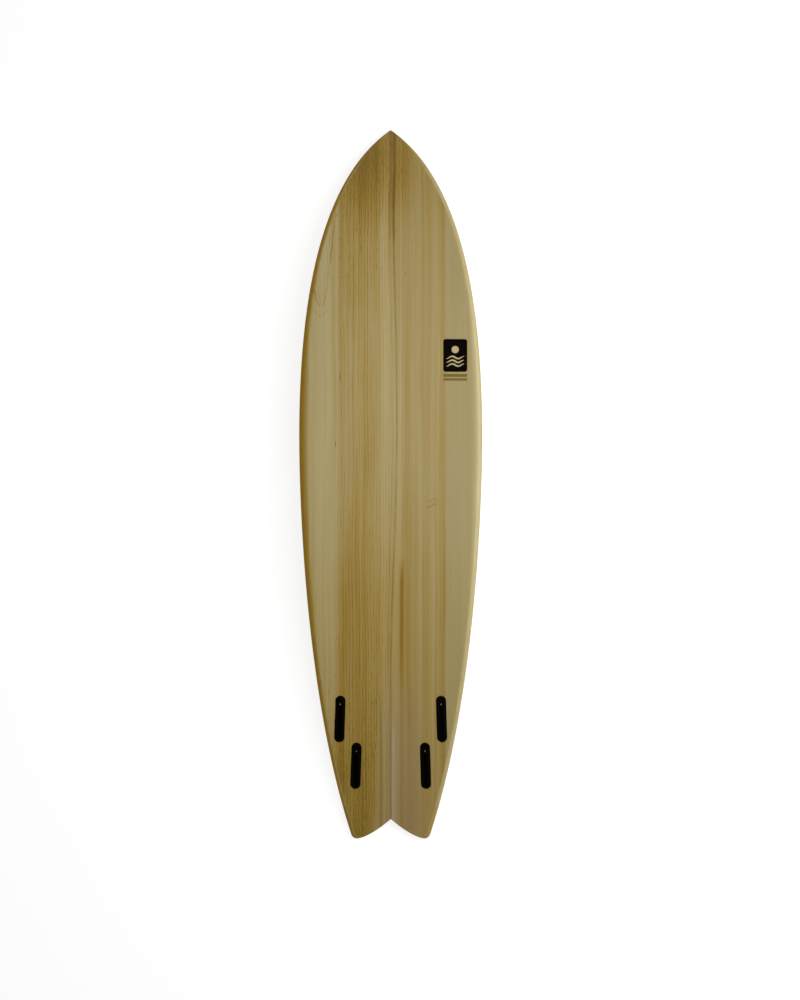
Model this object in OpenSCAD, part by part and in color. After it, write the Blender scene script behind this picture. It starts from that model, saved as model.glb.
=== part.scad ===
// Swallow-tail quad-fin surfboard: foam core, bent-wood rails, wood deck and bottom skins.
// The board lies deck down: +Y points to the nose, +Z is the outward side of the bottom.
// The origin is under the middle of the board, on the surface that it lies on.

/* [Board] */
// Length from the nose tip to the tail tips
board_length = 2083; // [1900:1:2300]
// Greatest width
board_width = 535; // [500:1:570]
// Greatest thickness on the centre line
board_thickness = 65; // [58:0.5:72]
// Thickness on the centre line at the nose and at the tail
end_thickness = 12; // [10:0.5:15]
// How fast the thickness falls away from the middle
foil_power = 2.2; // [2:0.05:2.6]
// Rise of the bottom at the nose above a flat surface under the middle
nose_rocker = 115; // [100:1:140]
// Rise of the bottom at the tail above that surface
tail_rocker = 54; // [50:1:70]
// Depth of the shallow concave across the bottom
concave = 2; // [0:0.5:4]
// Width of the bottom's rounded edge, at the widest point and at the two ends
bottom_round = [27, 14]; // [12:1:28]

/* [Outline] */
// Distance from the nose to the widest point
wide_point = 905; // [850:5:950]
// Half width of the blunt nose tip
nose_half_width = 2; // [1.5:0.5:4]
// Half width of the curve's nose handle
nose_handle_width = 235; // [225:1:245]
// Distance from the nose to that handle
nose_handle_back = 165; // [150:1:180]
// Half width of the curve's tail handle
tail_handle_width = 260; // [250:1:267]
// Distance from the tail to that handle
tail_handle_ahead = 443; // [420:1:470]
// Half width at the tail, before its corners are rounded
tail_half_width = 112; // [105:1:120]
// Radius of the two tail tips' outer corners
tail_corner = 12; // [8:0.5:14]
// Depth of the swallow tail's notch
notch_depth = 58; // [40:1:65]
// Half width of the notch's mouth
notch_half_width = 100; // [96:1:104]

/* [Wood] */
// Thickness of the deck and bottom skins
skin = 3; // [2:0.25:4]
// Thickness of the outer bent rail strip
outer_strip = 12; // [10:0.5:14]
// Thickness of the middle and of the inner bent rail strip
inner_strips = 9; // [8:0.5:10]
// Length of the solid nose block
nose_block_length = 116; // [100:1:130]
// Length of the solid tail blocks
tail_block_length = 95; // [90:1:110]

/* [Fin boxes] */
// Length of a fin box's flange
box_length = 138; // [132:0.5:142]
// Width of a fin box's flange
box_width = 30; // [27:0.5:32]
// Depth of the front pair of boxes
front_depth = 19; // [17:0.5:20]
// Depth of the rear pair of boxes
rear_depth = 16; // [15:0.5:17]
// Front boxes' centre, from the board's centre line
front_offset = 149; // [140:1:155]
// Front boxes' centre, from the tail tips
front_from_tail = 354; // [340:1:370]
// Rear boxes' centre, from the board's centre line
rear_offset = 102; // [95:1:108]
// Rear boxes' centre, from the tail tips
rear_from_tail = 216; // [205:1:220]
// Toe-in of each box towards the nose, in degrees
toe_in = 1.8; // [0:0.1:3]
// Length of the slot that a fin's tab drops into
slot_length = 99; // [96:0.5:101]
// Width of that slot
slot_width = 6.5; // [6.2:0.1:7]
// Radius of the fin screw
screw_radius = 2.5; // [2.4:0.05:2.6]
// Length of the fin screw
screw_length = 9; // [8:0.5:10]
// Lean of the fin screw from the flange's normal, in degrees
screw_lean = 32; // [28:1:36]

/* [Deck fittings] */
// Leash plug's centre, from the tail tips
leash_from_tail = 162; // [155:1:175]
// Radius of the leash plug's flange
leash_radius = 15; // [14:0.5:17]
// Depth of the leash plug
leash_depth = 17; // [15:0.5:18]
// Radius of the bar across the leash plug
bar_radius = 1.6; // [1.5:0.1:2]
// Vent's centre, from the tail tips
vent_from_tail = 400; // [380:5:600]
// Radius of the vent's flange
vent_radius = 11; // [10.5:0.5:13]

/* [Badge] */
// Size of the badge, across the board and along it
badge_size = [70, 96]; // [60:1:100]
// Badge's centre, to the right of the centre line
badge_offset = 188.5; // [180:0.5:195]
// Badge's centre, ahead of the board's middle
badge_ahead = 376.5; // [350:0.5:400]

/* [Hidden] */
$fn = 48;
slack = 0.01;

half = board_length / 2;
half_width = board_width / 2;
wide_y = half - wide_point;
block_front = -half + tail_block_length;
nose_joint = half - nose_block_length;

// Width that the rounded rail takes from the deck, and where each skin ends.
deck_round = 32;
apex_share = 0.4;
rail_total = outer_strip + 2 * inner_strips;
deck_skin_edge = outer_strip + inner_strips;
skin_bevel = [2, 3];
full_margin_width = 110;

// Deck crown: how thin the rail is against the centre line, in the middle and at the ends.
rail_ratio = 0.6;
end_rail_ratio = 0.95;
crown_power = 2.2;

glue_gap = 0.3;
screw_gap = 0.05;

// ---- Curves --------------------------------------------------------------------------------

function bezier(p, t) =
    pow(1 - t, 3) * p[0] + 3 * pow(1 - t, 2) * t * p[1] + 3 * (1 - t) * t * t * p[2] + pow(t, 3) * p[3];

// Half widths and distances from the nose of the two curves that make the outline.
nose_curve = [
    [nose_half_width, nose_handle_width, half_width, half_width],
    [0, nose_handle_back, wide_point - 305, wide_point]
];
tail_curve = [
    [half_width, half_width, tail_handle_width, tail_half_width],
    [wide_point, wide_point + 110, board_length - tail_handle_ahead, board_length]
];

function curve_place(c, d, low = 0, high = 1, steps = 30) =
    let (mid = (low + high) / 2)
    steps == 0 ? mid
    : bezier(c[1], mid) < d ? curve_place(c, d, mid, high, steps - 1)
    : curve_place(c, d, low, mid, steps - 1);

function corner_cut(y) =
    let (left = tail_corner - (y + half))
    left <= 0 ? 0 : tail_corner - sqrt(max(0, pow(tail_corner, 2) - pow(left, 2)));

function outline(y) =
    let (c = y > wide_y ? nose_curve : tail_curve)
    bezier(c[0], curve_place(c, half - y)) - corner_cut(y);

function notch(x) = notch_depth * pow(max(0, 1 - abs(x) / notch_half_width), 1.5);

function rocker(y) =
    y > 0 ? nose_rocker * pow(y / half, 2.5) : tail_rocker * pow(-y / half, 2.3);

function thickness(y) =
    end_thickness + (board_thickness - end_thickness) * (1 - pow(min(1, abs(y) / half), foil_power));

function crown(y) =
    thickness(y) * (1 - rail_ratio - (end_rail_ratio - rail_ratio) * pow(abs(y) / half, 3));

function dish(x, y, w) = concave * pow(x / w, 2) * pow(cos(90 * y / half), 2);

// ---- Surfaces, before the board is set down -------------------------------------------------

function deck_raw(x, y, w) = -rocker(y) - thickness(y) + crown(y) * pow(abs(x) / w, crown_power);

nose_low = deck_raw(0, half, nose_half_width);
tail_low = min([for (x = [0:2:notch_half_width - deck_round])
    deck_raw(x, notch(x) - half, notch_half_width)]);
tilt = (tail_low - nose_low) / board_length;
lift = -(tail_low + nose_low) / 2;

function bottom_sheet(x, y, w) = lift + tilt * y - rocker(y) + dish(x, y, w);
function deck_sheet(x, y, w) = lift + tilt * y + deck_raw(x, y, w);

function margin_scale(w) = min(1, w / full_margin_width);
function rail_height(y, w) = bottom_sheet(w, y, w) - deck_sheet(w, y, w);
function apex(y, w) = bottom_sheet(w, y, w) - apex_share * rail_height(y, w);

// Share of the rail's height that the round takes at x, where the round is r wide.
function round_drop(x, w, r) =
    let (q = max(0, (abs(x) - w + r) / r))
    1 - sqrt(max(0, 1 - q * q));

// The bottom's edge is softest at the widest point and harder towards both ends.
function edge_round(y) =
    let (reach = y > wide_y ? half - wide_y : half + wide_y)
    bottom_round[1] + (bottom_round[0] - bottom_round[1]) * pow(cos(90 * (y - wide_y) / reach), 4);

function bottom_face(x, y, w) =
    bottom_sheet(x, y, w)
    - apex_share * rail_height(y, w) * round_drop(x, w, edge_round(y) * margin_scale(w));
function deck_face(x, y, w) =
    deck_sheet(x, y, w)
    + (1 - apex_share) * rail_height(y, w) * round_drop(x, w, deck_round * margin_scale(w));

// ---- Grid of stations and columns ------------------------------------------------------------

// Offsets from the outline of the columns in the rails, and shares of the core for the rest.
core_shares = [0, 0.3, 0.6, 0.85];
rail_offsets = concat(
    [rail_total, deck_skin_edge + skin_bevel[1], deck_skin_edge, outer_strip + skin_bevel[0]],
    [for (a = [0, 25, 45, 62, 78, 90]) outer_strip * (1 - sin(a))]
);
CORE = len(core_shares);
DECK_BEVEL = CORE + 1;
DECK_EDGE = CORE + 2;
BOTTOM_BEVEL = CORE + 3;
BOTTOM_EDGE = CORE + 4;
APEX = CORE + len(rail_offsets) - 1;

function column(k, w) =
    let (c = w - rail_total * margin_scale(w))
    k < CORE ? core_shares[k] * c : w - rail_offsets[k - CORE] * margin_scale(w);

tail_steps = 16;
nose_steps = 13;
tail_stations = [for (s = [0, 1, 4, 12, 30, 50, 72, tail_block_length]) s - half];
body_stations = concat(
    [for (i = [0:tail_steps]) block_front + (wide_y - block_front) * (1 - cos(90 * i / tail_steps))],
    [for (i = [1:nose_steps]) wide_y + (nose_joint - wide_y) * sin(90 * i / nose_steps)]
);
nose_stations = [for (i = [0:8]) half - nose_block_length * pow(1 - i / 8, 1.6)];
all_stations = concat(
    tail_stations,
    [for (i = [1:tail_steps + nose_steps]) body_stations[i]],
    [for (i = [1:8]) nose_stations[i]]
);

// Lines of the grid bend round the notch inside the tail blocks.
function bend(y) = max(0, block_front - y) / tail_block_length;

// One point of the grid: station y, column k, side -1 or 1, and a layer of the sandwich.
function grid_point(y, k, side, layer) =
    let (w = outline(y), x = column(k, w), there = y + bend(y) * notch(x))
    let (z =
        k == APEX ? apex(there, w)
        : layer == "bottom" || (layer == "under_bottom" && k >= BOTTOM_EDGE) ? bottom_face(x, there, w)
        : layer == "under_bottom" ? bottom_face(x, there, w) - skin
        : layer == "deck" || k >= DECK_EDGE ? deck_face(x, there, w)
        : deck_face(x, there, w) + skin)
    [side * x, there, z];

// ---- Slabs: closed solids between two layers over a run of columns ---------------------------

// Columns run from the left: [side, index], with the centre line once.
function half_columns(side, from, to) =
    side > 0 ? [for (k = [from:to]) [1, k]] : [for (k = [to:-1:from]) [-1, k]];
function full_columns(to) = concat(half_columns(-1, 1, to), half_columns(1, 0, to));

function quad(a, b, c, d) = [[a, b, c], [a, c, d]];

module slab(stations, columns, upper, lower) {
    n = len(columns);
    m = len(stations);
    points = [for (layer = [upper, lower]) for (y = stations) for (c = columns)
        grid_point(y, c[1], c[0], layer)];
    function top(i, j) = i * n + j;
    function under(i, j) = (m + i) * n + j;
    faces = concat(
        [for (i = [0:m - 2]) for (j = [0:n - 2]) each concat(
            quad(top(i, j), top(i + 1, j), top(i + 1, j + 1), top(i, j + 1)),
            quad(under(i, j), under(i, j + 1), under(i + 1, j + 1), under(i + 1, j)))],
        [for (i = [0:m - 2]) each concat(
            quad(top(i, 0), under(i, 0), under(i + 1, 0), top(i + 1, 0)),
            quad(top(i, n - 1), top(i + 1, n - 1), under(i + 1, n - 1), under(i, n - 1)))],
        [for (j = [0:n - 2]) each concat(
            quad(top(0, j), top(0, j + 1), under(0, j + 1), under(0, j)),
            quad(top(m - 1, j), under(m - 1, j), under(m - 1, j + 1), top(m - 1, j + 1)))]
    );
    // A wedge's edge has its two layers together, so its flat triangles are left out.
    polyhedron(points, [for (f = faces)
        if (points[f[0]] != points[f[1]] && points[f[1]] != points[f[2]] && points[f[0]] != points[f[2]])
            f]);
}

// ---- Outlines with straight sides, for pockets in the skins and the foam ----------------------

// A ring of flats around a circle of radius r.
function ring(r, sides = 24) =
    [for (i = [0:sides - 1]) r / cos(180 / sides) * [cos(360 * i / sides), sin(360 * i / sides)]];
function stadium(long, wide, sides = 12) =
    let (r = wide / 2, run = long / 2 - r)
    [for (end = [1, -1]) for (i = [0:sides])
        end * [r * cos(180 * i / sides), run + r * sin(180 * i / sides)] / cos(90 / sides)];

module prism(points, from, to) translate([0, 0, from]) linear_extrude(to - from) polygon(points);

module true_stadium(long, wide) {
    square([wide, long - wide], center = true);
    for (end = [-1, 1]) translate([0, end * (long - wide) / 2]) circle(d = wide);
}

// ---- Places of the fittings ------------------------------------------------------------------

function sheet_slope(x, y, w) = atan((bottom_sheet(x, y + 1, w) - bottom_sheet(x, y - 1, w)) / 2);
function deck_slope(y, w) = atan((deck_sheet(0, y + 1, w) - deck_sheet(0, y - 1, w)) / 2);

// [side, offset, y, depth] of each fin box.
function box_spec(side, front) =
    front ? [side, front_offset, front_from_tail - half, front_depth]
    : [side, rear_offset, rear_from_tail - half, rear_depth];

module at_box(spec) {
    w = outline(spec[2]);
    translate([spec[0] * spec[1], spec[2], bottom_sheet(spec[1], spec[2], w)])
        rotate([sheet_slope(spec[1], spec[2], w), 0, 0])
            rotate([0, 0, spec[0] * toe_in]) children();
}

// A fitting on the deck's centre line, with its own +Z out of the deck.
module at_deck(y) {
    w = outline(y);
    translate([0, y, deck_sheet(0, y, w)]) rotate([180 + deck_slope(y, w), 0, 0]) children();
}

module at_badge() {
    w = outline(badge_ahead);
    translate([badge_offset, badge_ahead, bottom_sheet(badge_offset, badge_ahead, w)])
        rotate([sheet_slope(badge_offset, badge_ahead, w), 0, 0]) children();
}

BOXES = [for (side = [-1, 1]) for (front = [true, false]) box_spec(side, front)];
leash_y = leash_from_tail - half;
vent_y = vent_from_tail - half;

// ---- Pockets ---------------------------------------------------------------------------------

flange_depth = 2.2;
box_body = [126, 19];
insert_size = [150, 44];
insert_below = 4;
leash_insert_radius = 24;
vent_barrel = [8.5, 13];
badge_depth = 0.6;
badge_corner = 7;

module box_pocket(spec) at_box(spec) {
    prism(stadium(box_length + 2 * glue_gap, box_width + 2 * glue_gap), -flange_depth - glue_gap, 10);
    prism(stadium(box_body[0] + 2 * glue_gap, box_body[1] + 2 * glue_gap), -spec[3] - glue_gap, 0);
}

module insert_space(spec) at_box(spec)
    prism(stadium(insert_size[0], insert_size[1]), -spec[3] - insert_below, 10);

module leash_pocket() at_deck(leash_y) {
    prism(ring(leash_radius + glue_gap), -2 - glue_gap, 10);
    prism(ring(leash_radius - 2 + glue_gap), -leash_depth - glue_gap, 0);
}

module leash_space() at_deck(leash_y) prism(ring(leash_insert_radius), -leash_depth - 3, 10);

module vent_pocket() at_deck(vent_y) {
    prism(ring(vent_radius + glue_gap), -1.6 - glue_gap, 10);
    prism(ring(vent_barrel[0] + glue_gap), -vent_barrel[1] - glue_gap, 0);
}

function badge_outline(grow = 0) = [for (corner = [[1, 1], [-1, 1], [-1, -1], [1, -1]]) for (i = [0:4])
    let (c = badge_size / 2 - [badge_corner, badge_corner],
         start = corner == [1, 1] ? 0 : corner == [-1, 1] ? 90 : corner == [-1, -1] ? 180 : 270,
         a = start + 22.5 * i)
    [corner[0] * c[0], corner[1] * c[1]] + (badge_corner + grow) * [cos(a), sin(a)]];

// Each bar's centre below the panel, its length and its height.
bar_rows = [[-10.5, 69, 8.5], [-22.3, 69, 7]];

module badge_row(row, grow = 0) translate([0, row[0] - badge_size[1] / 2, 0])
    prism([for (p = [[-1, -1], [1, -1], [1, 1], [-1, 1]])
        [p[0] * (row[1] / 2 + grow), p[1] * (row[2] / 2 + grow)]],
        -badge_depth - grow, grow > 0 ? 10 : 0.05);

module badge_pocket() at_badge() {
    prism(badge_outline(slack), -badge_depth - slack, 10);
    for (row = bar_rows) badge_row(row, slack);
}

// ---- Foam and wood ---------------------------------------------------------------------------

module foam_core() color("whitesmoke") difference() {
    slab(body_stations, full_columns(CORE), "under_bottom", "over_deck");
    for (spec = BOXES) insert_space(spec);
    leash_space();
    vent_pocket();
}

// Dense foam around one fin box, up to the underside of the bottom skin.
module fin_insert(spec) color("lightsteelblue") difference() {
    intersection() {
        slab(body_stations, full_columns(CORE), "under_bottom", "over_deck");
        insert_space(spec);
    }
    box_pocket(spec);
}

module leash_insert() color("lightsteelblue") difference() {
    intersection() {
        slab(body_stations, full_columns(CORE), "under_bottom", "over_deck");
        leash_space();
    }
    leash_pocket();
}

module bottom_skin(side) color("burlywood") difference() {
    slab(all_stations, half_columns(side, 0, BOTTOM_EDGE), "bottom", "under_bottom");
    for (front = [true, false]) box_pocket(box_spec(side, front));
    if (side > 0) badge_pocket();
}

module deck_skin(side) color("tan") difference() {
    slab(all_stations, half_columns(side, 0, DECK_EDGE), "over_deck", "deck");
    leash_pocket();
    vent_pocket();
}

module rail_strip(side, from, to) color("peru")
    slab(body_stations, half_columns(side, from, to), "under_bottom", "over_deck");

// The front fin box's pocket is cut into the edge of the inner strip.
module rail_inner(side) color("peru") difference() {
    rail_strip(side, CORE, DECK_EDGE);
    box_pocket(box_spec(side, true));
}

module nose_block() color("sienna")
    slab(nose_stations, full_columns(APEX), "under_bottom", "over_deck");

module tail_block(side) color("sienna")
    slab(tail_stations, half_columns(side, 0, APEX), "under_bottom", "over_deck");

// ---- Fin boxes and their screws --------------------------------------------------------------

slot_back = -62;
slot_middle = slot_back + slot_length / 2;
screw_mouth = 44;
screw_sunk = 1;
socket_flats = 2.4;

// The screw leans back from its mouth, so that its tip bears down on the fin's tab.
module at_screw() translate([0, screw_mouth, 0]) rotate([-screw_lean, 0, 0]) children();

module fin_box(spec) color("black") at_box(spec) difference() {
    union() {
        translate([0, 0, -flange_depth]) linear_extrude(flange_depth) true_stadium(box_length, box_width);
        translate([0, 0, -spec[3]]) linear_extrude(spec[3] - flange_depth)
            true_stadium(box_body[0], box_body[1]);
    }
    translate([0, slot_middle, -spec[3] + 2.5]) linear_extrude(spec[3])
        true_stadium(slot_length, slot_width);
    at_screw() translate([0, 0, -15]) cylinder(r = screw_radius + screw_gap, h = 21);
    // Grooves that key the box's sides into the resin.
    for (side = [-1, 1]) for (y = [-45:15:45]) translate([side * (box_body[1] / 2 + 0.4), y, -spec[3] - 1])
        cylinder(r = 1.2, h = spec[3] - 2);
}

module fin_screw(spec) color("silver") at_box(spec) at_screw()
    translate([0, 0, -screw_sunk - screw_length]) difference() {
        union() {
            translate([0, 0, 1]) cylinder(r = screw_radius, h = screw_length - 1);
            cylinder(r1 = screw_radius - 0.9, r2 = screw_radius, h = 1);
        }
        translate([0, 0, screw_length - 3]) cylinder(d = socket_flats / cos(30), h = 4, $fn = 6);
    }

// ---- Leash plug ------------------------------------------------------------------------------

cup_inside = [10.5, 13.5];
bar_below = 5;

module leash_cup() color("black") at_deck(leash_y) difference() {
    union() {
        translate([0, 0, -2]) cylinder(r = leash_radius, h = 2);
        translate([0, 0, -leash_depth]) cylinder(r = leash_radius - 2, h = leash_depth - 1);
    }
    translate([0, 0, -cup_inside[1]]) cylinder(r = cup_inside[0], h = 20);
    translate([0, 0, -bar_below]) rotate([0, 90, 0])
        cylinder(r = bar_radius + slack, h = 2 * leash_radius, center = true);
}

module leash_bar() color("silver") at_deck(leash_y) translate([0, 0, -bar_below]) rotate([0, 90, 0])
    cylinder(r = bar_radius, h = 2 * leash_radius - 5, center = true);

// ---- Vent ------------------------------------------------------------------------------------

vent_bore = [6.6, 6];
membrane_thickness = 0.4;
seal_section = 0.8;
vent_gap = 0.05;

module vent_body() color("black") at_deck(vent_y) difference() {
    union() {
        translate([0, 0, -1.6]) cylinder(r = vent_radius, h = 1.6);
        translate([0, 0, -vent_barrel[1]]) cylinder(r = vent_barrel[0], h = vent_barrel[1] - 1);
    }
    translate([0, 0, -vent_bore[1]]) cylinder(r = vent_bore[0], h = 20);
    translate([0, 0, -20]) cylinder(r = 4, h = 20);
}

module vent_membrane() color("white") at_deck(vent_y)
    translate([0, 0, -vent_bore[1]]) cylinder(r = vent_bore[0] - 0.2, h = membrane_thickness);

module vent_seal() color("dimgray") at_deck(vent_y)
    translate([0, 0, -vent_bore[1] + membrane_thickness + seal_section]) rotate_extrude()
        translate([vent_bore[0] - 0.3 - seal_section, 0]) circle(r = seal_section);

module vent_cap() color("dimgray") at_deck(vent_y) {
    foot = -vent_bore[1] + membrane_thickness + 2 * seal_section;
    difference() {
        translate([0, 0, foot]) cylinder(r = vent_bore[0] - vent_gap, h = -0.2 - foot);
        translate([0, 0, -1]) cube([9, 1.6, 3], center = true);
        for (a = [45:90:315]) rotate([0, 0, a]) translate([3.4, 0, -10]) cylinder(r = 0.6, h = 20);
    }
}

// ---- Badge -----------------------------------------------------------------------------------

module badge_panel() color("black") at_badge() prism(badge_outline(), -badge_depth, 0.05);

module badge_bars() color("black") at_badge() for (row = bar_rows) badge_row(row);

// ---- Nodes -----------------------------------------------------------------------------------

foam_core();
bottom_skin(-1);  // bottom_skin_left
bottom_skin(1);  // bottom_skin_right
deck_skin(-1);  // deck_skin_left
deck_skin(1);  // deck_skin_right
rail_inner(-1);  // rail_inner_left
rail_inner(1);  // rail_inner_right
rail_strip(-1, DECK_EDGE, BOTTOM_EDGE);  // rail_middle_left
rail_strip(1, DECK_EDGE, BOTTOM_EDGE);  // rail_middle_right
rail_strip(-1, BOTTOM_EDGE, APEX);  // rail_outer_left
rail_strip(1, BOTTOM_EDGE, APEX);  // rail_outer_right
nose_block();
tail_block(-1);  // tail_block_left
tail_block(1);  // tail_block_right
fin_insert(box_spec(-1, true));  // fin_insert_front_left
fin_insert(box_spec(1, true));  // fin_insert_front_right
fin_insert(box_spec(-1, false));  // fin_insert_rear_left
fin_insert(box_spec(1, false));  // fin_insert_rear_right
fin_box(box_spec(-1, true));  // fin_box_front_left
fin_box(box_spec(1, true));  // fin_box_front_right
fin_box(box_spec(-1, false));  // fin_box_rear_left
fin_box(box_spec(1, false));  // fin_box_rear_right
fin_screw(box_spec(-1, true));  // fin_screw_front_left
fin_screw(box_spec(1, true));  // fin_screw_front_right
fin_screw(box_spec(-1, false));  // fin_screw_rear_left
fin_screw(box_spec(1, false));  // fin_screw_rear_right
leash_insert();
leash_cup();
leash_bar();
vent_body();
vent_membrane();
vent_seal();
vent_cap();
badge_panel();
badge_bars();
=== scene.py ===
import math

import bmesh
import bpy
import numpy as np
from mathutils import Matrix, Vector


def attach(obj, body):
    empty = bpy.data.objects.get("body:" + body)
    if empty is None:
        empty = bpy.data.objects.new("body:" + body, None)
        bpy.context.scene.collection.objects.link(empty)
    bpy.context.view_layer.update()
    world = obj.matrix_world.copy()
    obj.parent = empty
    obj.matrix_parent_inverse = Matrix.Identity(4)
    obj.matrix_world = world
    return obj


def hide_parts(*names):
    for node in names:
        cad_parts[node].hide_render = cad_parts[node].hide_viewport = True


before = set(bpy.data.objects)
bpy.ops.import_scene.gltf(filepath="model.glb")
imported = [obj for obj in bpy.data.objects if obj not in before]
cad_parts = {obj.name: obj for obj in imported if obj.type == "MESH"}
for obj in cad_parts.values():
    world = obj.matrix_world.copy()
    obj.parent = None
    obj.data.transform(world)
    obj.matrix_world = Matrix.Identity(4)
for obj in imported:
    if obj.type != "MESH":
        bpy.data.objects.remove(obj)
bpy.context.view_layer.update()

MM = 0.001
# Points closer than this, in metres, are one.
MERGE = 2e-6

# ---- The board's form, in millimetres: the same curves as the CAD part -------------------------

LENGTH, WIDTH, THICKNESS, END_THICKNESS = 2083.0, 535.0, 65.0, 12.0
HALF, HALF_WIDTH = LENGTH / 2, WIDTH / 2
WIDE_POINT = 905.0
WIDE_Y = HALF - WIDE_POINT
NOSE_CURVE = ((2.0, 235.0, HALF_WIDTH, HALF_WIDTH), (0.0, 165.0, 600.0, WIDE_POINT))
TAIL_CURVE = ((HALF_WIDTH, HALF_WIDTH, 260.0, 112.0), (WIDE_POINT, 1015.0, 1640.0, LENGTH))
TAIL_CORNER = 12.0
NOTCH_DEPTH, NOTCH_HALF_WIDTH = 58.0, 100.0
NOSE_ROCKER, TAIL_ROCKER = 115.0, 54.0
CONCAVE = 2.0
FOIL_POWER = 2.2
RAIL_RATIO, END_RAIL_RATIO, CROWN_POWER = 0.6, 0.95, 2.2
BOTTOM_ROUND, END_BOTTOM_ROUND = 27.0, 14.0
DECK_ROUND, APEX_SHARE = 32.0, 0.4
SKIN = 3.0
OUTER_STRIP, RAIL_TOTAL, DECK_SKIN_EDGE = 12.0, 30.0, 21.0
FULL_MARGIN_WIDTH = 110.0
TAIL_BLOCK, NOSE_BLOCK = 95.0, 116.0
BLOCK_FRONT, NOSE_JOINT = TAIL_BLOCK - HALF, HALF - NOSE_BLOCK


def bezier(p, t):
    return (1 - t) ** 3 * p[0] + 3 * (1 - t) ** 2 * t * p[1] + 3 * (1 - t) * t * t * p[2] + t**3 * p[3]


def outline(y):
    """Half width of the board at y."""
    y = np.asarray(y, float)
    nose = y > WIDE_Y
    low, high = np.zeros_like(y), np.ones_like(y)
    for _ in range(30):
        mid = (low + high) / 2
        ahead = np.where(nose, bezier(NOSE_CURVE[1], mid), bezier(TAIL_CURVE[1], mid)) < HALF - y
        low, high = np.where(ahead, mid, low), np.where(ahead, high, mid)
    mid = (low + high) / 2
    width = np.where(nose, bezier(NOSE_CURVE[0], mid), bezier(TAIL_CURVE[0], mid))
    left = np.clip(TAIL_CORNER - (y + HALF), 0, TAIL_CORNER)
    return width - TAIL_CORNER + np.sqrt(TAIL_CORNER**2 - left**2)


def notch(x):
    return NOTCH_DEPTH * np.clip(1 - np.abs(x) / NOTCH_HALF_WIDTH, 0, 1) ** 1.5


def rocker(y):
    ahead = NOSE_ROCKER * (np.clip(y, 0, None) / HALF) ** 2.5
    return ahead + TAIL_ROCKER * (np.clip(-y, 0, None) / HALF) ** 2.3


def thickness(y):
    return END_THICKNESS + (THICKNESS - END_THICKNESS) * (1 - np.minimum(1, np.abs(y) / HALF) ** FOIL_POWER)


def crown(y):
    return thickness(y) * (1 - RAIL_RATIO - (END_RAIL_RATIO - RAIL_RATIO) * (np.abs(y) / HALF) ** 3)


def deck_raw(x, y, w):
    return -rocker(y) - thickness(y) + crown(y) * (np.abs(x) / w) ** CROWN_POWER


NOTCH_X = np.arange(0.0, NOTCH_HALF_WIDTH - DECK_ROUND + 1, 2)
NOSE_LOW = float(deck_raw(0.0, HALF, 2.0))
TAIL_LOW = float(deck_raw(NOTCH_X, notch(NOTCH_X) - HALF, NOTCH_HALF_WIDTH).min())
TILT = (TAIL_LOW - NOSE_LOW) / LENGTH
LIFT = -(TAIL_LOW + NOSE_LOW) / 2


def bottom_sheet(x, y, w):
    dish = CONCAVE * (x / w) ** 2 * np.cos(np.pi / 2 * y / HALF) ** 2
    return LIFT + TILT * y - rocker(y) + dish


def deck_sheet(x, y, w):
    return LIFT + TILT * y + deck_raw(x, y, w)


def margin(w):
    return np.minimum(1, w / FULL_MARGIN_WIDTH)


def rail_height(y, w):
    return bottom_sheet(w, y, w) - deck_sheet(w, y, w)


def round_drop(x, w, r):
    q = np.clip((np.abs(x) - w + r) / r, 0, 1)
    return 1 - np.sqrt(np.clip(1 - q * q, 0, 1))


def edge_round(y):
    """Width of the bottom's rounded edge: softest at the widest point, harder towards both ends."""
    reach = np.where(y > WIDE_Y, HALF - WIDE_Y, HALF + WIDE_Y)
    share = np.cos(np.pi / 2 * (y - WIDE_Y) / reach) ** 4
    return END_BOTTOM_ROUND + (BOTTOM_ROUND - END_BOTTOM_ROUND) * share


def bottom_face(x, y, w):
    drop = round_drop(x, w, edge_round(y) * margin(w))
    return bottom_sheet(x, y, w) - APEX_SHARE * rail_height(y, w) * drop


def deck_face(x, y, w):
    drop = round_drop(x, w, DECK_ROUND * margin(w))
    return deck_sheet(x, y, w) + (1 - APEX_SHARE) * rail_height(y, w) * drop


# ---- Meshes ------------------------------------------------------------------------------------


def make_object(name, points, faces, material, smooth=35, transform=None):
    """An object from points in millimetres; wedge edges whose layers meet are merged."""
    mesh = bpy.data.meshes.new(name)
    mesh.from_pydata([tuple(p) for p in np.asarray(points, float) * MM], [], faces)
    work = bmesh.new()
    work.from_mesh(mesh)
    bmesh.ops.remove_doubles(work, verts=work.verts, dist=MERGE)
    bmesh.ops.dissolve_degenerate(work, edges=work.edges, dist=1e-7)
    bmesh.ops.recalc_face_normals(work, faces=work.faces)
    work.to_mesh(mesh)
    work.free()
    if transform is not None:
        mesh.transform(transform)
    obj = bpy.data.objects.new(name, mesh)
    bpy.context.scene.collection.objects.link(obj)
    if material is not None:
        mesh.materials.append(material)
    mesh.shade_smooth()
    mesh.set_sharp_from_angle(angle=math.radians(smooth))
    return obj


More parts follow.
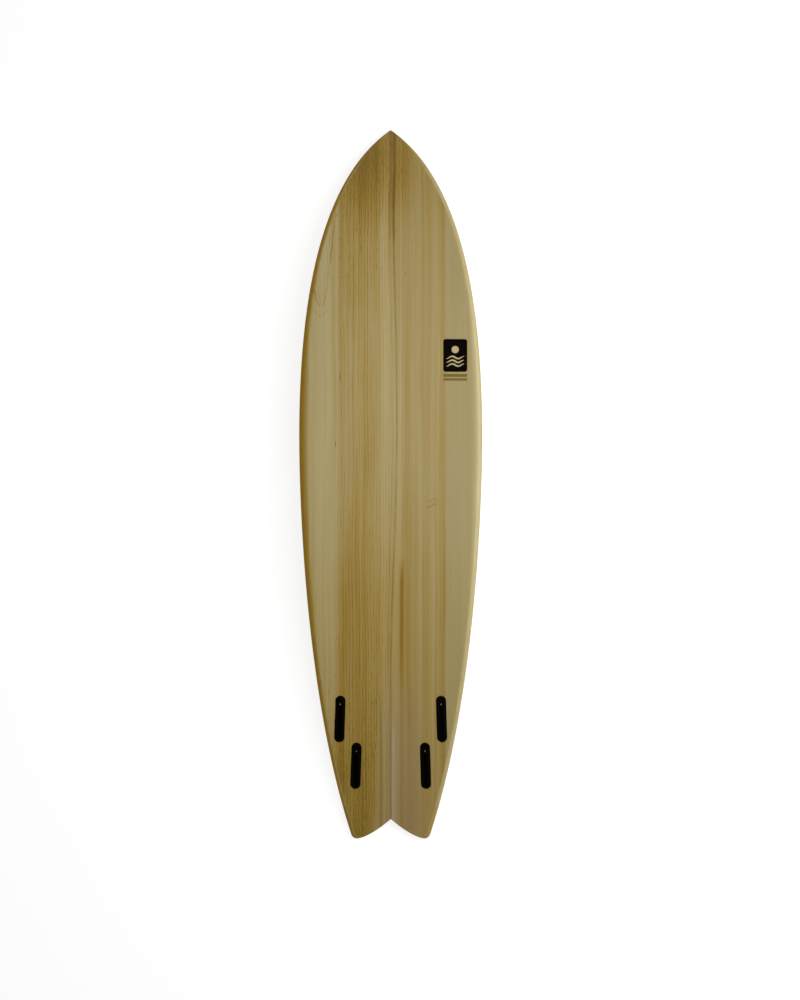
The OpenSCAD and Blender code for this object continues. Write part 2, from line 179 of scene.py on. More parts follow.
def slab_mesh(stations, columns, sides, upper, lower):
    """Points and faces of a closed solid between two layers. columns are (share, offset) pairs."""
    y = np.asarray(stations, float)[:, None]
    w = outline(y)
    m = margin(w)
    share = np.array([c[0] for c in columns])
    offset = np.array([c[1] for c in columns])
    x = share * (w - RAIL_TOTAL * m) + np.where(share < 1, 0, RAIL_TOTAL * m) - offset * m * (share >= 1)
    if sides == "both":
        x = np.concatenate([-x[:, :0:-1], x], axis=1)
    elif sides == "left":
        x = -x[:, ::-1]
    there = y + np.clip(BLOCK_FRONT - y, 0, None) / TAIL_BLOCK * notch(x)
    rows, count = x.shape
    layers = [np.stack([x, there, z(x, there, w)], axis=-1).reshape(-1, 3) for z in (upper, lower)]
    points = np.concatenate(layers)
    index = np.arange(rows * count * 2).reshape(2, rows, count)
    faces = []
    for layer, order in ((0, 1), (1, -1)):
        a, b = index[layer, :-1, :-1], index[layer, 1:, :-1]
        c, d = index[layer, 1:, 1:], index[layer, :-1, 1:]
        quads = np.stack([a, b, c, d][::order], axis=-1).reshape(-1, 4)
        faces.extend(quads.tolist())
    for edge in (index[:, :, 0], index[:, :, -1], index[:, 0, :], index[:, -1, :]):
        a, b, c, d = edge[0, :-1], edge[0, 1:], edge[1, 1:], edge[1, :-1]
        faces.extend(np.stack([a, b, c, d], axis=-1).tolist())
    return points, faces


def edge_distance(x, w):
    return (w - np.abs(x)) / margin(w)


def under_bottom(x, y, w):
    return bottom_face(x, y, w) - SKIN * np.clip((edge_distance(x, w) - OUTER_STRIP) / 2, 0, 1)


def over_deck(x, y, w):
    return deck_face(x, y, w) + SKIN * np.clip((edge_distance(x, w) - DECK_SKIN_EDGE) / 3, 0, 1)


def spaced(a, b, count):
    return a + (b - a) * np.linspace(0, 1, count + 1)


def loft(loops):
    """Points and faces of a closed skin over loops with the same number of points."""
    count = len(loops[0])
    points = [p for loop in loops for p in loop]
    faces = []
    for i in range(len(loops) - 1):
        for j in range(count):
            k = (j + 1) % count
            a, b = i * count, (i + 1) * count
            faces.append([a + j, a + k, b + k, b + j])
    faces.append(list(range(count))[::-1])
    faces.append([(len(loops) - 1) * count + j for j in range(count)])
    return points, faces


ROUND_SIDES = 48


def stadium(long, wide, z):
    r, run = wide / 2, long / 2 - wide / 2
    loop = []
    for end in (1, -1):
        for i in range(ROUND_SIDES // 2 + 1):
            a = math.pi * i / (ROUND_SIDES // 2)
            loop.append((end * r * math.cos(a), end * (run + r * math.sin(a)), z))
    return loop


def ring(r, z, flats=0):
    """A circle, or a hexagon of that inner radius sampled at the circle's angles."""
    loop = []
    for i in range(ROUND_SIDES):
        a = 2 * math.pi * i / ROUND_SIDES
        reach = r
        if flats:
            reach = r / math.cos((a + math.pi / flats) % (2 * math.pi / flats) - math.pi / flats)
        loop.append((reach * math.cos(a), reach * math.sin(a), z))
    return loop


def cut(obj, cutters):
    """Takes the cutters' shapes out of obj, then removes them."""
    for cutter in cutters:
        modifier = obj.modifiers.new("cut", "BOOLEAN")
        modifier.operation, modifier.solver, modifier.object = "DIFFERENCE", "EXACT", cutter
    depsgraph = bpy.context.evaluated_depsgraph_get()
    mesh = bpy.data.meshes.new_from_object(obj.evaluated_get(depsgraph))
    obj.modifiers.clear()
    obj.data = mesh
    mesh.shade_smooth()
    mesh.set_sharp_from_angle(angle=math.radians(30))
    for cutter in cutters:
        bpy.data.objects.remove(cutter)


def place(x, y, z, slope, turn=0.0):
    return (
        Matrix.Translation(Vector((x, y, z)) * MM)
        @ Matrix.Rotation(math.radians(slope), 4, "X")
        @ Matrix.Rotation(math.radians(turn), 4, "Z")
    )


# ---- Where the fittings are ----------------------------------------------------------------------

FIN_TURN = 1.8
# Each pair's distance from the centre line, distance from the tail, and depth.
FIN_PAIRS = (("front", 149.0, 354.0, 19.0), ("rear", 102.0, 216.0, 16.0))


def height_and_slope(sheet, x, y):
    """The sheet's height at a place, and its slope along the board in degrees."""
    w = float(outline(y))
    rise = float(sheet(x, y + 1, w) - sheet(x, y - 1, w))
    return float(sheet(x, y, w)), math.degrees(math.atan(rise / 2))


def fin_place(side, x, y):
    z, slope = height_and_slope(bottom_sheet, x, y)
    return place(side * x, y, z, slope, side * FIN_TURN)


def deck_place(y):
    z, slope = height_and_slope(deck_sheet, 0, y)
    return place(0, y, z, 180 + slope)


BOXES = {
    f"{pair}_{hand}": (fin_place(side, x, from_tail - HALF), depth)
    for side, hand in ((-1, "left"), (1, "right"))
    for pair, x, from_tail, depth in FIN_PAIRS
}
LEASH_Y, VENT_Y = 162.0 - HALF, 400.0 - HALF

# ---- Materials -------------------------------------------------------------------------------------


class Graph:
    """Short calls for building one material's nodes."""

    def __init__(self, name):
        self.material = bpy.data.materials.new(name)
        self.material.use_nodes = True
        tree = self.material.node_tree
        tree.nodes.clear()
        self.nodes, self.links = tree.nodes, tree.links
        self.out = self.nodes.new("ShaderNodeOutputMaterial")
        self.shader = self.nodes.new("ShaderNodeBsdfPrincipled")
        self.links.new(self.shader.outputs[0], self.out.inputs[0])

    def put(self, value, socket):
        if isinstance(value, bpy.types.NodeSocket):
            self.links.new(value, socket)
        else:
            socket.default_value = value

    def math(self, operation, *values):
        node = self.nodes.new("ShaderNodeMath")
        node.operation = operation
        for value, socket in zip(values, node.inputs):
            self.put(value, socket)
        return node.outputs[0]

    def add(self, *values):
        total = values[0]
        for value in values[1:]:
            total = self.math("ADD", total, value)
        return total

    def times(self, *values):
        total = values[0]
        for value in values[1:]:
            total = self.math("MULTIPLY", total, value)
        return total

    def step(self, value, low, high, out_low=0.0, out_high=1.0):
        """A smooth step from out_low to out_high as value goes from low to high."""
        node = self.nodes.new("ShaderNodeMapRange")
        node.interpolation_type = "SMOOTHSTEP"
        for item, socket in zip((value, low, high, out_low, out_high), node.inputs):
            self.put(item, socket)
        return node.outputs[0]

    def band(self, value, low, high, soft):
        return self.times(
            self.step(value, low - soft, low + soft), self.step(value, high - soft, high + soft, 1.0, 0.0)
        )

    def line(self, distance, half_width):
        """One on the line where distance is zero, fading to nothing at half_width."""
        return self.step(self.math("ABSOLUTE", distance), 0.0, half_width, 1.0, 0.0)

    def vector(self, x, y, z=0.0):
        node = self.nodes.new("ShaderNodeCombineXYZ")
        for value, socket in zip((x, y, z), node.inputs):
            self.put(value, socket)
        return node.outputs[0]

    def noise(self, vector, detail=2.0, rough=0.5, distortion=0.0):
        node = self.nodes.new("ShaderNodeTexNoise")
        node.inputs["Scale"].default_value = 1.0
        node.inputs["Detail"].default_value = detail
        node.inputs["Roughness"].default_value = rough
        node.inputs["Distortion"].default_value = distortion
        self.links.new(vector, node.inputs["Vector"])
        return node.outputs["Fac"]

    def cells(self, vector):
        node = self.nodes.new("ShaderNodeTexVoronoi")
        node.inputs["Scale"].default_value = 1.0
        node.inputs["Randomness"].default_value = 1.0
        self.links.new(vector, node.inputs["Vector"])
        return node.outputs["Distance"]

    def ramp(self, factor, stops):
        node = self.nodes.new("ShaderNodeValToRGB")
        node.color_ramp.interpolation = "LINEAR"
        elements = node.color_ramp.elements
        while len(elements) < len(stops):
            elements.new(0.5)
        for element, (position, colour) in zip(elements, stops):
            element.position = position
            grey = (colour,) * 3 if isinstance(colour, (int, float)) else colour
            element.color = (*grey, 1.0)
        self.put(factor, node.inputs[0])
        return node.outputs[0]

    def mix(self, factor, a, b, blend="MIX"):
        node = self.nodes.new("ShaderNodeMix")
        node.data_type, node.blend_type = "RGBA", blend
        for value, socket in ((factor, node.inputs[0]), (a, node.inputs[6]), (b, node.inputs[7])):
            if isinstance(value, tuple):
                value = (*value, 1.0)
            self.put(value, socket)
        return node.outputs[2]

    def position(self):
        """x, y and z of the surface in the row frame, in millimetres."""
        where = self.nodes.new("ShaderNodeTexCoord")
        split = self.nodes.new("ShaderNodeSeparateXYZ")
        self.links.new(where.outputs["Object"], split.inputs[0])
        return [self.times(split.outputs[i], 1000.0) for i in range(3)]

    def facing(self):
        """How far the surface faces sideways, 0 on the flats and 1 on the rails, and how far it faces up."""
        where = self.nodes.new("ShaderNodeTexCoord")
        split = self.nodes.new("ShaderNodeSeparateXYZ")
        self.links.new(where.outputs["Normal"], split.inputs[0])
        return self.math("ABSOLUTE", split.outputs[0]), split.outputs[2]

    def bump(self, height, distance, strength=1.0, normal=None):
        node = self.nodes.new("ShaderNodeBump")
        node.inputs["Strength"].default_value = strength
        node.inputs["Distance"].default_value = distance
        self.links.new(height, node.inputs["Height"])
        if normal is not None:
            self.links.new(normal, node.inputs["Normal"])
        return node.outputs[0]

    def finish(self, colour, roughness, normal=None, **inputs):
        if isinstance(colour, tuple):
            colour = (*colour, 1.0)
        self.put(colour, self.shader.inputs["Base Color"])
        self.put(roughness, self.shader.inputs["Roughness"])
        if normal is not None:
            self.links.new(normal, self.shader.inputs["Normal"])
        for name, value in inputs.items():
            self.shader.inputs[name.replace("_", " ")].default_value = value
        return self.material


# The clear coat over all wood: rubbed down, so the shine is soft.
SATIN = {"Specular_IOR_Level": 0.22, "Coat_Weight": 0.3, "Coat_Roughness": 0.3}

# Wood colours from pale sapwood through golden brown to the dark lines.
WOOD_STOPS = (
    (0.0, (0.430, 0.350, 0.168)),
    (0.2, (0.398, 0.312, 0.130)),
    (0.45, (0.350, 0.242, 0.066)),
    (0.7, (0.280, 0.172, 0.014)),
    (1.0, (0.185, 0.104, 0.003)),
)

# Left edge of each plank or band across the bottom, in millimetres, and how golden it is.
BOTTOM_BANDS = (
    (-270, 0.40), (-258, 0.30), (-240, 0.14), (-218, 0.06), (-170, 0.15), (-152, 0.36), (-132, 0.32),
    (-112, 0.40), (-82, 0.46), (-64, 0.34), (-44, 0.30), (-30, 0.16), (-10, 0.24), (8, 0.22), (32, 0.37),
    (58, 0.31), (78, 0.26), (92, 0.38), (110, 0.28), (142, 0.44), (160, 0.22), (184, 0.24), (222, 0.28),
    (245, 0.30),
)
DECK_BANDS = (
    (-270, 0.30), (-244, 0.24), (-205, 0.34), (-170, 0.18), (-128, 0.22), (-96, 0.42), (-70, 0.50),
    (-42, 0.33), (-14, 0.20), (4, 0.26), (30, 0.14), (64, 0.24), (88, 0.38), (120, 0.46), (150, 0.30),
    (176, 0.16), (214, 0.22), (248, 0.32),
)


def band_tone(g, x, bands, soft=2.5):
    """The tone of each band across the board, with soft edges between neighbours."""
    low, span = -275.0, 550.0
    stops = []
    for (start, tone), before in zip(bands, (bands[0], *bands[:-1])):
        for shift, value in ((-soft, before[1]), (soft, tone)):
            stops.append((min(1.0, max(0.0, (start + shift - low) / span)), value))
    # A ramp node holds 32 stops at most, so two ramps share them, with each edge's two kept together.
    half = len(stops) // 2 + len(stops) // 2 % 2
    left, right = stops[:half], stops[half:]
    across = g.times(g.math("SUBTRACT", x, low), 1 / span)
    split = (left[-1][0] + right[0][0]) / 2
    return g.mix(g.step(across, split - 1e-4, split + 1e-4), g.ramp(across, left), g.ramp(across, right))


def lap_tint_and_painted_rail_light(g, x, colour):
    """Resin gathers on the rails and deepens the wood on faces that lean sideways and up. Over the left
    strips it is a dark amber that is partly painted shade; over the right strips it is a paler, bluer tint
    that is a painted sheen.
    """
    amber_shade_pale_sheen = g.mix(g.step(x, -20.0, 20.0), (1.10, 0.78, 0.002), (0.94, 0.99, 1.12))
    sideways, up = g.facing()
    weight = g.times(g.step(sideways, 0.03, 0.52), g.step(up, -0.10, 0.35))
    return g.mix(weight, colour, g.mix(1.0, colour, amber_shade_pale_sheen, "MULTIPLY"))


def veneer(name, bands, bottom):
    """Plain-sawn planks glued edge to edge, under a thin satin coat."""
    g = Graph(name)
    x, y, _ = g.position()
    seed = 0.0 if bottom else 31.0

    def streaks(across, along, detail=2.0, rough=0.5, shift=0.0):
        spot = g.vector(g.times(xw, 1 / across), g.times(y, 1 / along), seed + shift)
        return g.noise(spot, detail, rough)

    # The grain wanders a little from side to side along the board.
    drift = g.noise(g.vector(g.times(x, 1 / 90), g.times(y, 1 / 420), seed + 3.0), 2.0, 0.45)
    xw = g.add(x, g.times(g.math("SUBTRACT", drift, 0.5), 16.0))
    tone = band_tone(g, xw, bands)

    # Slow changes of tone, then growth-ring lines, then fibre.
    slow = g.math("SUBTRACT", streaks(55, 620, 2.0, 0.5, 5.0), 0.5)
    wide = g.math("SUBTRACT", streaks(9, 1500, 2.0, 0.55, 8.0), 0.5)
    lines = g.math("SUBTRACT", streaks(2.6, 1100, 2.0, 0.6, 11.0), 0.5)
    fibre = g.math("SUBTRACT", streaks(0.9, 60, 3.0, 0.6, 14.0), 0.5)
    tone = g.add(tone, g.times(slow, 0.40), g.times(wide, 0.42), g.times(lines, 0.42), g.times(fibre, 0.22))

    # Closely spaced dark ring lines beside the centre, strongest on the golden planks.
    ring_place = g.add(xw, g.times(g.math("SUBTRACT", streaks(40, 900, 1.0, 0.5, 21.0), 0.5), 14.0))
    wave = g.math("SINE", g.times(ring_place, 2 * math.pi / 8.6))
    rings = g.step(wave, 0.35, 1.0)
    long_breaks = g.step(streaks(12, 160, 2.0, 0.6, 24.0), 0.34, 0.58)
    breaks = g.times(long_breaks, g.step(streaks(3.0, 7, 2.0, 0.6, 27.0), 0.36, 0.62, 0.3, 1.0))
    mask = g.band(x, -165 if bottom else -120, 12 if bottom else 140, 14)
    tone = g.add(tone, g.times(rings, breaks, mask, 0.34))

    # Golden pores in broken dashes, thick on the golden planks and towards both ends.
    dashes = g.step(streaks(2.6, 26, 2.0, 0.55, 31.0), 0.53, 0.72)
    rows = g.step(streaks(6.5, 900, 1.0, 0.5, 34.0), 0.44, 0.60)
    ends = g.add(g.step(y, -380.0, -760.0), g.step(y, 420.0, 820.0), 0.14)
    side = g.step(x, 20.0, -60.0, 0.35, 1.0)
    tone = g.add(tone, g.times(dashes, rows, ends, side, 0.46))

    # The nose is darker and more golden, most of all left of the middle, and so is the left of the tail, in
    # streaky patches. Both ends are darker across their whole width: partly the wood, partly painted shade
    # where the light falls off towards the ends. Aft of the middle the left side is a shade darker.
    nose = g.times(g.step(y, 690.0, 950.0), g.step(g.math("ABSOLUTE", g.add(x, 35.0)), 30.0, 130.0, 1.0, 0.4))
    # Darker towards the tail across its whole width: partly the wood, partly painted shade.
    tail = g.add(g.step(y, 20.0, -380.0), g.step(y, -520.0, -900.0, 0.0, 0.35))
    corner = g.times(g.step(y, -690.0, -850.0), g.band(x, -165.0, -62.0, 24.0), 1.0 if bottom else 0.3)
    blotch = g.noise(g.vector(g.times(x, 1 / 5), g.times(y, 1 / 24), seed + 45.0), 3.0, 0.6)
    mottle = g.step(blotch, 0.36, 0.66)
    patch_gold = g.times(g.add(g.times(corner, 0.15), g.times(nose, 0.14)), g.add(0.40, mottle))
    aft = g.times(g.step(y, -80.0, -460.0), g.step(x, -60.0, -170.0, 0.35, 1.0), g.step(x, 30.0, -30.0), 0.12)
    fore = g.times(g.step(y, 360.0, 700.0), 0.04)
    tone = g.add(tone, g.times(nose, 0.30), patch_gold, aft, fore, g.times(tail, 0.12))
    fine = g.noise(g.vector(g.times(x, 0.35), g.times(y, 0.22), seed + 41.0), 3.0, 0.6)
    tone = g.add(tone, g.times(g.math("SUBTRACT", fine, 0.5), 0.10))
    if bottom:
        tone = bottom_features(g, x, y, tone, streaks)
    colour = g.ramp(tone, WOOD_STOPS)
    if bottom:
        # A greener plank on the right and a pinker heart at the tail. The right half is darker and cooler:
        # painted shade that evens out the light falling stronger from the right.
        green = g.band(xw, 160.0, 262.0, 5.0)
        colour = g.mix(g.times(green, 0.5), colour, (0.33, 0.272, 0.118))
        # Painted shade: the right half darker, against the stronger light from the right.
        shade = g.mix(g.step(x, 0.0, 70.0), (1.0, 1.0, 1.0), (0.925, 0.935, 0.96))
        colour = g.mix(1.0, colour, shade, "MULTIPLY")
        heart_width = g.step(g.math("ABSOLUTE", g.add(x, -32.0)), 25.0, 85.0, 1.0, 0.0)
        heart = g.times(heart_width, g.step(y, -480.0, -780.0))
        colour = g.mix(g.times(heart, 0.45), colour, (0.29, 0.205, 0.112))
        colour = marks(g, x, y, colour, streaks)
    # The rails' resin tint, with painted shade on the left rail and a painted sheen on the right.
    colour = lap_tint_and_painted_rail_light(g, x, colour)
    # Light handling marks: the coat is a little duller in patches, with faint long rub lines.
    patches = g.noise(g.vector(g.times(x, 1 / 70), g.times(y, 1 / 110), seed + 51.0), 3.0, 0.6)
    rubs = g.noise(g.vector(g.times(x, 1 / 1.5), g.times(y, 1 / 240), seed + 55.0), 2.0, 0.5)
    rough = g.add(0.36, g.times(patches, 0.16), g.times(rubs, 0.10))
    normal = g.bump(g.add(fibre, g.times(lines, 0.6)), 0.00012, 0.35)
    ripple = g.noise(g.vector(g.times(x, 1 / 45), g.times(y, 1 / 60), seed + 61.0), 1.0, 0.4)
    normal = g.bump(ripple, 0.0006, 0.25, normal)
    return g.finish(colour, rough, normal, **SATIN)


def bottom_features(g, x, y, tone, streaks):
    """Single features of the bottom veneer's grain: a tongue of plain-sawn grain and a small curl."""
    # A tongue of plain-sawn grain in the pale left plank, closed at its tail end.
    wobble = g.times(g.math("SUBTRACT", streaks(60, 46, 3.0, 0.55, 71.0), 0.5), 28.0)
    up = g.math("SUBTRACT", y, 518.0)
    spread = g.add(
        g.times(g.math("SQRT", g.math("DIVIDE", g.math("MAXIMUM", up, 0.0), 62.0)), 19.0),
        g.times(g.math("MAXIMUM", g.math("SUBTRACT", up, 90.0), 0.0), 0.02),
    )
    off = g.math("ABSOLUTE", g.add(x, 206.0, wobble))
    loop = g.line(g.math("SUBTRACT", off, spread), 3.2)
    inner = g.line(g.math("SUBTRACT", off, g.math("SUBTRACT", spread, 9.0)), 3.6)
    ends = g.times(g.step(up, -4.0, 6.0), g.step(up, 190.0, 330.0, 1.0, 0.0))
    loop = g.times(g.add(loop, g.times(inner, 0.35)), ends)
    vee = g.math("SUBTRACT", off, g.times(g.add(up, 32.0), 0.9))
    vee = g.times(g.line(vee, 3.5), g.step(up, -36.0, -28.0), g.step(up, -12.0, 2.0, 1.0, 0.0))
    tone = g.add(tone, g.times(loop, 0.42), g.times(vee, 0.24))
    # A small curl, like two waves, right of the middle.
    for rise, strength in ((0.0, 0.30), (15.0, 0.22)):
        curve = g.times(g.math("SINE", g.times(g.math("SUBTRACT", x, 119.0), 0.17)), 5.0)
        drop = g.math("SUBTRACT", g.math("SUBTRACT", y, rise - 62.0), curve)
        near = g.band(x, 104.0 + rise * 0.3, 134.0 + rise * 0.3, 8.0)
        tone = g.add(tone, g.times(g.line(drop, 4.5), near, strength))
    return tone


def marks(g, x, y, colour, streaks):
    """The long golden streak, the brown line near the middle, two lines at the tail, three short marks."""
    sway = g.times(g.math("SUBTRACT", g.noise(g.vector(5.5, g.times(y, 1 / 150), 2.0), 2.0, 0.5), 0.5), 8.0)
    # The streak starts as a faint double line and gathers into one dark golden one.
    off = g.math("SUBTRACT", g.add(x, g.times(sway, 0.5)), g.step(y, 120.0, -330.0, 49.0, 31.5))
    gathered = g.times(g.step(y, -190.0, -290.0), g.step(y, -640.0, -450.0, 0.35, 1.0))
    faint = g.times(g.step(y, 420.0, 300.0), g.step(y, -260.0, -120.0))
    for shift, share in ((-3.5, 0.36), (4.5, 0.46)):
        twin = g.line(g.add(off, shift), 4.5)
        colour = g.mix(g.times(twin, faint, share), colour, (0.27, 0.165, 0.02))
    colour = g.mix(g.times(g.line(off, 17.0), gathered, 0.50), colour, (0.29, 0.18, 0.02))
    colour = g.mix(g.times(g.line(off, 9.5), gathered, 0.97), colour, (0.225, 0.122, 0.001))
    # The brown line bows away from the seam between the nose and the middle.
    bow = g.add(
        g.step(y, 940.0, 830.0, 11.0, 8.0),
        g.step(y, 800.0, 250.0, 0.0, 10.0),
        g.step(y, 150.0, -560.0, 0.0, -18.0),
    )
    middle = g.math("SUBTRACT", g.add(x, g.times(sway, 0.4)), bow)
    broken = g.step(streaks(8, 90, 2.0, 0.6, 81.0), 0.30, 0.55, 0.55, 1.0)
    strength = g.times(g.step(y, 560.0, 850.0, 0.46, 1.0), broken)
    main = g.line(middle, g.step(y, 600.0, 850.0, 5.6, 8.0))
    colour = g.mix(g.times(main, strength), colour, (0.140, 0.072, 0.002))
    beside = g.line(g.add(middle, 12.0), 4.5)
    beside = g.times(beside, strength, g.step(y, 600.0, 850.0, 0.35, 0.8))
    colour = g.mix(beside, colour, (0.19, 0.11, 0.01))
    # At the tail a pale line runs beside the seam, with a golden one to its left.
    pale = g.times(g.line(g.math("SUBTRACT", x, 7.5), 8.0), g.step(y, -640.0, -770.0), 0.75)
    colour = g.mix(pale, colour, (0.40, 0.315, 0.185))
    gold = g.times(g.line(g.add(x, 28.0), 7.0), g.step(y, -560.0, -720.0), 0.65)
    colour = g.mix(gold, colour, (0.21, 0.125, 0.022))
    for mark_x, mark_y, length in ((-148.0, 314.0, 19.0), (-161.0, 118.0, 14.0), (43.0, 617.0, 5.0)):
        thin = g.line(g.math("SUBTRACT", x, mark_x), 2.4)
        along = g.line(g.math("SUBTRACT", y, mark_y), length)
        colour = g.mix(g.times(thin, along, 0.85), colour, (0.09, 0.06, 0.04))
    return colour


def rail_wood(name, shift, base_tone):
    """Bent strips: straight grain that follows the rail."""
    g = Graph(name)
    x, y, z = g.position()
    spot = g.vector(g.times(x, 1 / 5), g.times(y, 1 / 500), g.times(z, 1 / 3.0))
    long_grain = g.math("SUBTRACT", g.noise(spot, 3.0, 0.55), 0.5)
    fine_spot = g.vector(g.times(x, 1 / 1.2), g.times(y, 1 / 60), g.add(g.times(z, 1 / 0.9), shift))
    fibre = g.math("SUBTRACT", g.noise(fine_spot, 3.0, 0.6), 0.5)
    slow = g.math("SUBTRACT", g.noise(g.vector(shift, g.times(y, 1 / 300), 1.0), 2.0, 0.5), 0.5)
    tone = g.add(base_tone, g.times(long_grain, 0.45), g.times(fibre, 0.2), g.times(slow, 0.2))
    # The rails' resin tint, with painted shade on the left rail and a painted sheen on the right.
    colour = lap_tint_and_painted_rail_light(g, x, g.ramp(tone, WOOD_STOPS))
    knocks = g.noise(g.vector(g.times(x, 1 / 14), g.times(y, 1 / 14), g.times(z, 1 / 14)), 3.0, 0.6)
    rough = g.add(0.36, g.times(knocks, 0.2))
    normal = g.bump(g.add(fibre, g.times(long_grain, 0.5)), 0.00012, 0.35)
    return g.finish(colour, rough, normal, **SATIN)


def moulded(name, colour, rough, grain=0.35):
    """Glass-filled plastic with a fine spark-eroded texture and rubbed patches."""
    g = Graph(name)
    x, y, z = g.position()
    spot = g.vector(g.times(x, 1 / grain), g.times(y, 1 / grain), g.times(z, 1 / grain))
    pebble = g.noise(spot, 3.0, 0.6)
    broad = g.noise(g.vector(g.times(x, 1 / 9), g.times(y, 1 / 14), g.times(z, 1 / 9)), 3.0, 0.6)
    dust = g.step(g.noise(g.vector(g.times(x, 1 / 2.2), g.times(y, 1 / 3.4), z), 3.0, 0.65), 0.60, 0.82)
    pale = tuple(min(1.0, c * 2.6 + 0.002) for c in colour)
    body = g.mix(g.times(broad, 0.5), colour, tuple(c * 1.7 for c in colour))
    body = g.mix(g.times(dust, 0.35), body, pale)
    roughness = g.add(rough, g.times(broad, 0.18), g.times(dust, 0.1))
    return g.finish(body, roughness, g.bump(pebble, 0.00004, 0.5), Specular_IOR_Level=0.02)


def metal(name, colour, rough):
    """Turned steel with fine marks round it and dull stains."""
    g = Graph(name)
    x, y, z = g.position()
    turned = g.noise(g.vector(g.times(x, 1 / 0.15), g.times(y, 1 / 0.15), g.times(z, 1 / 2.5)), 2.0, 0.5)
    stain = g.noise(g.vector(g.times(x, 1 / 2.4), g.times(y, 1 / 2.4), g.times(z, 1 / 2.4)), 3.0, 0.6)
    dark = tuple(c * 0.55 for c in colour)
    body = g.mix(g.step(stain, 0.48, 0.75, 0.0, 0.7), colour, dark)
    roughness = g.add(rough, g.times(turned, 0.12), g.times(stain, 0.15))
    return g.finish(body, roughness, g.bump(turned, 0.00002, 0.4), Metallic=1.0)


def foam(name, colour, bead):
    """Moulded beads of that size, pressed together."""
    g = Graph(name)
    x, y, z = g.position()
    spot = g.vector(g.times(x, 1 / bead), g.times(y, 1 / bead), g.times(z, 1 / bead))
    beads = g.cells(spot)
    shade = g.mix(g.step(beads, 0.25, 0.75), colour, tuple(c * 0.82 for c in colour))
    mottle = g.noise(g.vector(g.times(x, 1 / 60), g.times(y, 1 / 60), g.times(z, 1 / 60)), 2.0, 0.5)
    shade = g.mix(g.times(mottle, 0.2), shade, (0.82, 0.78, 0.66))
    rough = g.add(0.72, g.times(beads, 0.15))
    return g.finish(shade, rough, g.bump(beads, -0.0004, 0.6), Specular_IOR_Level=0.25)


def felt(name, colour):
    """The vent membrane's matted fibres."""
    g = Graph(name)
    x, y, z = g.position()
    fibres = g.noise(g.vector(g.times(x, 4.0), g.times(y, 4.0), g.times(z, 4.0)), 4.0, 0.7, 1.5)
    shade = g.mix(fibres, colour, tuple(c * 0.7 for c in colour))
    return g.finish(shade, g.add(0.8, g.times(fibres, 0.15)), g.bump(fibres, 0.00008, 0.6))


def ink(name, colour):
    """Printed film under the coat, with the faintest grain of the wood beneath."""
    g = Graph(name)
    x, y, _ = g.position()
    telegraph = g.noise(g.vector(g.times(x, 1 / 1.1), g.times(y, 1 / 70), 2.0), 3.0, 0.6)
    patches = g.noise(g.vector(g.times(x, 1 / 20), g.times(y, 1 / 26), 3.0), 3.0, 0.6)
    shade = g.mix(g.times(telegraph, 0.5), colour, tuple(c * 1.6 + 0.0008 for c in colour))
    rough = g.add(0.5, g.times(patches, 0.16))
    return g.finish(shade, rough, g.bump(telegraph, 0.00006, 0.3), Specular_IOR_Level=0.02)


BOTTOM_WOOD = veneer("bottom_wood", BOTTOM_BANDS, True)
DECK_WOOD = veneer("deck_wood", DECK_BANDS, False)
OUTER_WOOD = rail_wood("rail_outer_wood", 3.0, 0.26)
INNER_WOOD = rail_wood("rail_inner_wood", 9.0, 0.36)
BLOCK_WOOD = rail_wood("block_wood", 17.0, 0.44)
BLACK = moulded("box_plastic", (0.0014, 0.0009, 0.0006), 0.55)
CAP_BLACK = moulded("cap_plastic", (0.022, 0.022, 0.024), 0.4)
STEEL = metal("steel", (0.34, 0.205, 0.060), 0.30)
CORE_FOAM = foam("foam", (0.90, 0.90, 0.87), 4.0)
DENSE_FOAM = foam("dense_foam", (0.62, 0.70, 0.78), 1.1)
RUBBER = moulded("seal_rubber", (0.012, 0.012, 0.012), 0.5, 0.6)
MEMBRANE = felt("membrane", (0.86, 0.86, 0.84))
BADGE = ink("badge_black", (0.0016, 0.0009, 0.0004))
BARS = ink("badge_brown", (0.150, 0.104, 0.026))
PALE_INK = ink("badge_pale", (0.40, 0.32, 0.17))

# ---- Skins, rails and blocks, at full smoothness ---------------------------------------------------

# Rows of points along the board, from the tail to the nose. EASE is measured from the tail's end.
EASE = np.array([0, 0.12, 0.4, 0.9, 1.6, 2.6, 4, 6, 8.5, 12, 16, 22, 30, 38, 46, 56, 66, 76, 86, 95])
TAIL_Y = EASE - HALF
BODY_Y = np.concatenate([spaced(BLOCK_FRONT, WIDE_Y, 110)[1:], spaced(WIDE_Y, NOSE_JOINT, 80)[1:]])
NOSE_Y = HALF - spaced(NOSE_BLOCK, 0.0, 30)[1:] ** 1.6 / NOSE_BLOCK**0.6
ALL_Y = np.concatenate([TAIL_Y, BODY_Y, NOSE_Y])
RAIL_Y = np.concatenate([[BLOCK_FRONT], BODY_Y])
NOSE_BLOCK_Y = np.concatenate([[NOSE_JOINT], NOSE_Y])

# Columns across the board: a share of the way to the rails' inner edge, or millimetres in from the
# edge. ARC follows the rounded edge.
SHARES = [(s, 0.0) for s in np.linspace(0, 1, 15)[:-1]]
ARC_ANGLES = (0, 6, 12, 18, 25, 33, 41, 49, 57, 65, 73, 81, 90)
ARC = [(1.0, OUTER_STRIP * (1 - math.sin(math.radians(a)))) for a in ARC_ANGLES]


def offsets(*values):
    return [(1.0, float(v)) for v in values]


